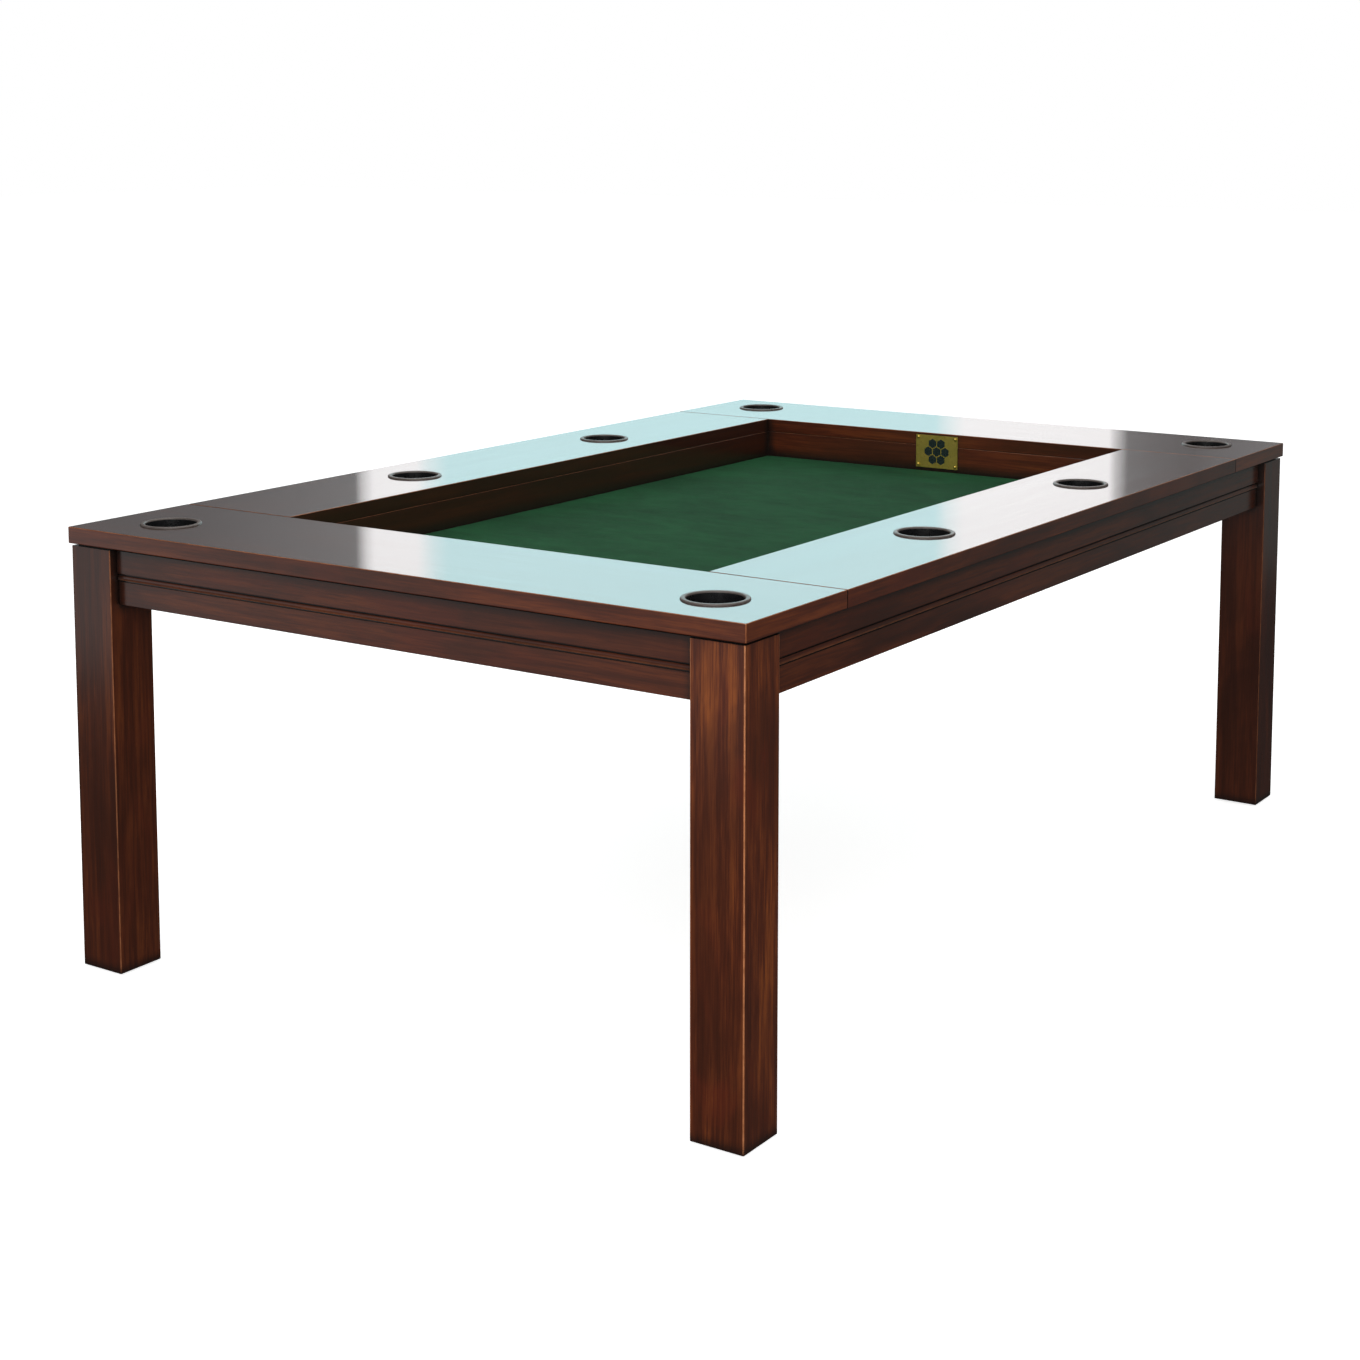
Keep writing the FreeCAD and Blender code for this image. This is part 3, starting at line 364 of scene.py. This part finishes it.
def aged_brass(name, brushed_axis, dullness=0.42):
    """Brass with fine brushing along one axis and some brown tarnish. dullness is its roughness."""
    material, tree, shader = new_material(name)
    brush = cloud(tree, place(tree, grain_scale(brushed_axis, 40)), 2600, detail=3)
    tarnish = cloud(tree, place(tree), 85, detail=5, roughness=0.65)
    brass = blend_colour(tree, brush, (0.68, 0.50, 0.10), (0.86, 0.68, 0.17))
    brass = blend_colour(tree, spread(tree, tarnish, 0.50, 0.72, 0.0, 0.5), brass, (0.40, 0.27, 0.06))
    set_inputs(tree, shader, Base_Color=brass, Metallic=1.0,
               Roughness=spread(tree, tarnish, 0.35, 0.72, dullness, dullness + 0.18),
               Normal=bump(tree, brush, 0.12, 0.0002))
    return material


def dark_enamel():
    """Fired enamel fill: nearly black, slightly pooled and pitted."""
    material, tree, shader = new_material("tile_enamel")
    pooled = cloud(tree, place(tree), 240, detail=3)
    colour = blend_colour(tree, pooled, (0.006, 0.010, 0.011), (0.020, 0.030, 0.030))
    set_inputs(tree, shader, Base_Color=colour, Roughness=spread(tree, pooled, 0.3, 0.7, 0.16, 0.34),
               Normal=bump(tree, pooled, 0.25, 0.0003), Coat_Weight=0.6, Coat_Roughness=0.08)
    return material


def zinc_steel():
    """Zinc-plated steel: a crystal bloom with yellowish patches and handling marks."""
    material, tree, shader = new_material("zinc_plate")
    bloom = node(tree, "TexVoronoi", {"Vector": place(tree), "Scale": 420.0}).outputs["Distance"]
    patina = cloud(tree, place(tree), 70, detail=5)
    steel = blend_colour(tree, bloom, (0.62, 0.62, 0.60), (0.46, 0.47, 0.47))
    steel = blend_colour(tree, spread(tree, patina, 0.48, 0.70, 0.0, 0.5), steel, (0.50, 0.45, 0.32))
    set_inputs(tree, shader, Base_Color=steel, Metallic=1.0,
               Roughness=spread(tree, patina, 0.3, 0.7, 0.30, 0.52),
               Normal=bump(tree, bloom, 0.10, 0.0002))
    return material


def moulded_nylon():
    """Dull dark nylon, lightly scratched underneath."""
    material, tree, shader = new_material("glide_nylon")
    grain = cloud(tree, place(tree), 900, detail=2)
    scratches = cloud(tree, place(tree, grain_scale("X", 14)), 320, detail=3)
    colour = blend_colour(tree, grain, (0.060, 0.053, 0.048), (0.098, 0.088, 0.080))
    set_inputs(tree, shader, Base_Color=colour, Roughness=spread(tree, scratches, 0.4, 0.7, 0.42, 0.66),
               Normal=bump(tree, grain, 0.2, 0.0003))
    return material


# ---------------------------------------------------------------- dressing the CAD nodes

def dress(name, material):
    """Give every slot of one CAD node the same material."""
    for slot in frame["nodes"][name].material_slots:
        slot.material = material


def longest_axis(name):
    low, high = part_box(name)
    sizes = list(high - low)
    return AXES[sizes.index(max(sizes))]


def nodes_of(slot_name):
    """The names of the CAD nodes in one material slot, in a fixed order."""
    return sorted(part["node"] for part in frame["record"]["subparts"]
                  if part["material_slot"] == slot_name)


def dress_stained_wood():
    """Each board gets its own cut of the log, with the grain along its length."""
    # The dark_ shares paint shade by facing; the edge copper is abrasion with a painted highlight.
    board = {"lacquer_roughness": 0.05, "amber": 0.35, "wear_and_highlight": 0.5, "dark_top": 0.8, "dark_side": 0.15}
    finishes = {
        "top_board_front": {**board, "dark_side": 0.25, "dark_inside": 0.85},
        "top_board_back": {**board, "dark_inside": 0.85},
        "top_board": {**board, "dark_inside": 0.35},
        "leg_back_left": {"figure": 0.6, "amber": 0.5, "wear_and_highlight": 0.5, "dark_side": 0.3, "wear_and_sheen": 0.002},
        "leg_front_right": {"figure": 0.5, "amber": 0.3, "wear_and_highlight": 0.3, "dark_side": 0.4, "wear_and_sheen": 0.0015},
        "leg": {"lacquer_roughness": 0.24, "figure": 0.65, "amber": 1.0, "wear_and_highlight": 1.0, "wear_and_sheen": 0.0024},
        "apron_front": {"wear_and_highlight": 0.2, "dark_side": 0.4},
        "apron": {"wear_and_highlight": 0.2, "dark_side": 0.25},
        "pit_wall_left": {"wear_and_highlight": 0.4, "dark_side": 0.35},
        "pit_wall_right": {"wear_and_highlight": 0.4, "dark_side": 0.35},
        "pit_wall": {"wear_and_highlight": 0.4, "dark_side": 0.85},
    }
    for number, name in enumerate(nodes_of("stained_wood")):
        family = next((word for word in finishes if name.startswith(word)), "apron")
        material = stained_wood(f"stain_{name}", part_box(name), longest_axis(name), 1 + 3 * number,
                                **finishes[family])
        dress(name, material)


def dress_raw_wood():
    dark, light = (0.33, 0.20, 0.10), (0.62, 0.44, 0.26)
    along = {axis: raw_wood(f"raw_wood_{axis}", axis, dark, light) for axis in AXES}
    for name in nodes_of("plain_wood"):
        dress(name, along[longest_axis(name)])
    low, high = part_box("play_board")
    veneers = 9
    plies = (low.z, (high.z - low.z) / veneers)
    plywood = raw_wood("birch_plywood", "X", (0.36, 0.25, 0.14), (0.60, 0.46, 0.29), plies)
    for name in nodes_of("plywood"):
        dress(name, plywood)


def dress_table():
    dress_stained_wood()
    dress_raw_wood()
    for slot_name, material in (
            ("black_plastic", black_plastic()),
            ("brass", aged_brass("plaque_brass", "Y")),
            ("enamel", dark_enamel()),
            ("zinc_steel", zinc_steel()),
            ("nylon", moulded_nylon())):
        for name in nodes_of(slot_name):
            dress(name, material)
    dress("plaque_pins", aged_brass("pin_brass", "Z", 0.24))


# ---------------------------------------------------------------- felt

def make_felt():
    """The playing cloth: one sheet glued flat, with a soft uneven nap and eased edges."""
    low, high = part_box("play_felt")
    cell = 0.007
    across = round((high.x - low.x) / cell)
    along = round((high.y - low.y) / cell)
    nap = 0.00035
    cut_edge = 0.0012
    mesh = bmesh.new()
    rows = []
    for i in range(across + 1):
        row = []
        for j in range(along + 1):
            x = low.x + (high.x - low.x) * i / across
            y = low.y + (high.y - low.y) * j / along
            patch = noise.fractal(Vector((x * 16, y * 16, 0)), 0.8, 2.0, 4)
            rise = nap * max(-1.0, min(1.0, patch))
            on_edge = i in (0, across) or j in (0, along)
            top = high.z - nap - (cut_edge if on_edge else 0.0)
            row.append(mesh.verts.new((x, y, top + rise)))
        rows.append(row)
    for first, second in zip(rows, rows[1:]):
        for j in range(along):
            mesh.faces.new((first[j], second[j], second[j + 1], first[j + 1]))
    edges = [edge for edge in mesh.edges if edge.is_boundary]
    skirt = bmesh.ops.extrude_edge_only(mesh, edges=edges)["geom"]
    for vertex in (item for item in skirt if isinstance(item, bmesh.types.BMVert)):
        vertex.co.z = low.z
    bottom = [edge for edge in mesh.edges if edge.is_boundary]
    bmesh.ops.contextual_create(mesh, geom=bottom)
    bmesh.ops.recalc_face_normals(mesh, faces=mesh.faces)
    data = bpy.data.meshes.new("felt_cloth")
    mesh.to_mesh(data)
    mesh.free()
    for face in data.polygons:
        face.use_smooth = True
    data.materials.append(felt_material())
    cloth = bpy.data.objects.new("felt_cloth", data)
    bpy.context.scene.collection.objects.link(cloth)
    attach(cloth, "table")
    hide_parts("play_felt")
    return cloth


# ---------------------------------------------------------------- studio

def heading(degrees):
    """The level direction so many degrees clockwise from +Y."""
    turn = math.radians(degrees)
    return Vector((math.sin(turn), math.cos(turn), 0.0))


def lamp_material():
    """Emits the light painted on each panel's corners, blended smoothly between them."""
    material = bpy.data.materials.new("lamp")
    material.use_nodes = True
    tree = material.node_tree
    tree.nodes.clear()
    painted = node(tree, "Attribute", attribute_name="light").outputs["Color"]
    emission = node(tree, "Emission", {"Color": painted, "Strength": 1.0})
    tree.links.new(emission.outputs[0], node(tree, "OutputMaterial").inputs[0])
    return material


def light_panel(name, corners, lights):
    """A flat panel that lights and reflects but isn't seen itself.

    lights gives each corner's colour and strength.
    """
    mesh = bpy.data.meshes.new(name)
    mesh.from_pydata([tuple(corner) for corner in corners], [], [(0, 1, 2, 3)])
    painted = mesh.attributes.new("light", "FLOAT_COLOR", "POINT")
    for spot, (colour, strength) in zip(painted.data, lights):
        spot.color = (*(strength * part for part in colour), 1.0)
    mesh.materials.append(bpy.data.materials.get("lamp") or lamp_material())
    panel = bpy.data.objects.new(name, mesh)
    panel.visible_camera = False
    panel.visible_shadow = False
    bpy.context.scene.collection.objects.link(panel)
    return panel


def upright_panel(name, start, end, bottom, top, lights):
    """An upright panel on the line from start to end, with lights as in light_panel."""
    corners = [(start.x, start.y, bottom), (end.x, end.y, bottom),
               (end.x, end.y, top), (start.x, start.y, top)]
    return light_panel(name, corners, lights)


def make_window_wall():
    """The wall behind the table that its lacquer mirrors: a pale blue window between white reveals.

    It dims towards the floor, so the far end of the top mirrors less light than the near end.
    """
    distance = 8.0
    # Height above the floor, and the share of the full light there.
    heights = ((0.25, 0.55), (0.9, 0.55), (2.1, 1.0), (3.2, 1.0))
    wall = (0.97, 0.98, 1.0)
    reveal = (1.0, 0.985, 0.99)
    pane = (0.67, 0.97, 1.0)
    # Degrees to the right of the view's middle, what stands there, and how strongly it shines.
    stations = (
        (-24.0, wall, 0.19), (-12.0, wall, 0.27), (-8.0, wall, 0.37),
        (-7.55, reveal, 2.55), (-6.5, reveal, 2.55),
        (-5.75, pane, 2.25), (6.3, pane, 2.25),
        (7.0, reveal, 2.55), (10.5, reveal, 2.55),
        (10.95, wall, 0.36), (12.5, wall, 0.25), (14.5, wall, 0.46), (26.0, wall, 0.50),
    )
    base = Vector((CAMERA_PLACE.x, CAMERA_PLACE.y, 0.0))
    for across, (first, last) in enumerate(zip(stations, stations[1:])):
        start, end = (base + heading(CAMERA_HEADING + turn) * distance for turn, _, _ in (first, last))
        for up, ((bottom, low_share), (top, high_share)) in enumerate(zip(heights, heights[1:])):
            corners = ((first, low_share), (last, low_share), (last, high_share), (first, high_share))
            lights = [(colour, strength * share) for (_, colour, strength), share in corners]
            upright_panel(f"window_wall_{across}_{up}", start, end, bottom, top, lights)


def make_lights():
    """A soft box overhead, two at the sides, a high window for the highlights, and two grey cards."""
    white = (1.0, 0.985, 0.965)
    grey = (0.94, 0.99, 1.0)
    sea_grey = (0.80, 0.99, 0.97)
    cool = (0.85, 0.94, 1.0)
    make_window_wall()
    centre_x, half_width, half_depth, height = -0.4, 1.6, 1.3, 3.6
    corners = [(centre_x + sx * half_width, sy * half_depth, height)
               for sx, sy in ((-1, -1), (-1, 1), (1, 1), (1, -1))]
    overhead_strength = 2.5
    light_panel("overhead_box", corners, [(white, overhead_strength)] * 4)
    for name, towards, distance, width, bottom, top, colour, strength in (
            ("left_box", 246, 3.3, 2.2, 0.7, 2.7, white, 2.3),
            ("front_box", 222, 3.6, 1.8, 0.3, 2.4, white, 1.7),
            ("high_window", 238, 6.5, 1.4, 2.0, 3.2, cool, 9.0)):
        centre = heading(towards) * distance
        side = heading(towards + 90) * width / 2
        upright_panel(name, centre - side, centre + side, bottom, top, [(colour, strength)] * 4)
    # Two grey cards whose faint reflections veil the sides, more towards the far ends.
    for name, colour, start, end, bottom, top, near, far in (
            ("left_card", grey, (-2.74, 0.1), (-2.35, 2.6), 0.04, 1.0, 0.24, 0.78),
            ("right_card", sea_grey, (0.9, -2.06), (3.9, -1.40), 0.02, 1.2, 0.06, 0.20)):
        lights = [(colour, near), (colour, far), (colour, far), (colour, near)]
        upright_panel(name, Vector(start), Vector(end), bottom, top, lights)


def make_floor():
    """A pale studio floor that runs out of sight."""
    size = 60.0
    mesh = bpy.data.meshes.new("studio_floor")
    half = size / 2
    mesh.from_pydata([(-half, -half, 0), (half, -half, 0), (half, half, 0), (-half, half, 0)], [],
                     [(0, 1, 2, 3)])
    material, tree, shader = new_material("studio_floor")
    set_inputs(tree, shader, Base_Color=(0.82, 0.82, 0.82, 1.0), Roughness=0.9, Specular_IOR_Level=0.0,
               Emission_Color=(1.0, 1.0, 1.0, 1.0), Emission_Strength=0.75)
    mesh.materials.append(material)
    floor = bpy.data.objects.new("studio_floor", mesh)
    bpy.context.scene.collection.objects.link(floor)
    floor.visible_glossy = False
    floor.visible_diffuse = False


def make_world():
    """White behind the table, and a dimmer even room light on it."""
    world = bpy.data.worlds.new("studio")
    bpy.context.scene.world = world
    world.use_nodes = True
    tree = world.node_tree
    tree.nodes.clear()
    rays = node(tree, "LightPath")
    direction = node(tree, "TexCoord").outputs["Generated"]
    height = node(tree, "SeparateXYZ", {0: direction}).outputs["Z"]
    white = (1.0, 0.98, 0.96, 1.0)
    seen = node(tree, "Background", {"Color": (1, 1, 1, 1), "Strength": 1.0})
    room_light = spread(tree, height, -0.5, 0.4, ROOM_LIGHT_LOW, ROOM_LIGHT_HIGH)
    room = node(tree, "Background", {"Color": white, "Strength": room_light})
    mirrored = node(tree, "Background", {"Color": white, "Strength": MIRRORED_ROOM})
    lit = node(tree, "MixShader", {0: rays.outputs["Is Glossy Ray"], 1: room.outputs[0],
                                   2: mirrored.outputs[0]})
    both = node(tree, "MixShader", {0: rays.outputs["Is Camera Ray"], 1: lit.outputs[0],
                                    2: seen.outputs[0]})
    tree.links.new(both.outputs[0], node(tree, "OutputWorld").inputs[0])
    bpy.context.scene.view_settings.view_transform = "Standard"


def make_camera():
    data = bpy.data.cameras.new("camera")
    data.lens = CAMERA_LENS
    data.sensor_width = CAMERA_SENSOR
    data.shift_y = -CAMERA_SHIFT_DOWN
    camera = bpy.data.objects.new("camera", data)
    camera.location = CAMERA_PLACE
    camera.rotation_euler = (math.radians(90 - CAMERA_DIP), 0.0, -math.radians(CAMERA_HEADING))
    bpy.context.scene.collection.objects.link(camera)
    bpy.context.scene.camera = camera


make_camera()
make_world()
make_floor()
make_lights()
dress_table()
make_felt()
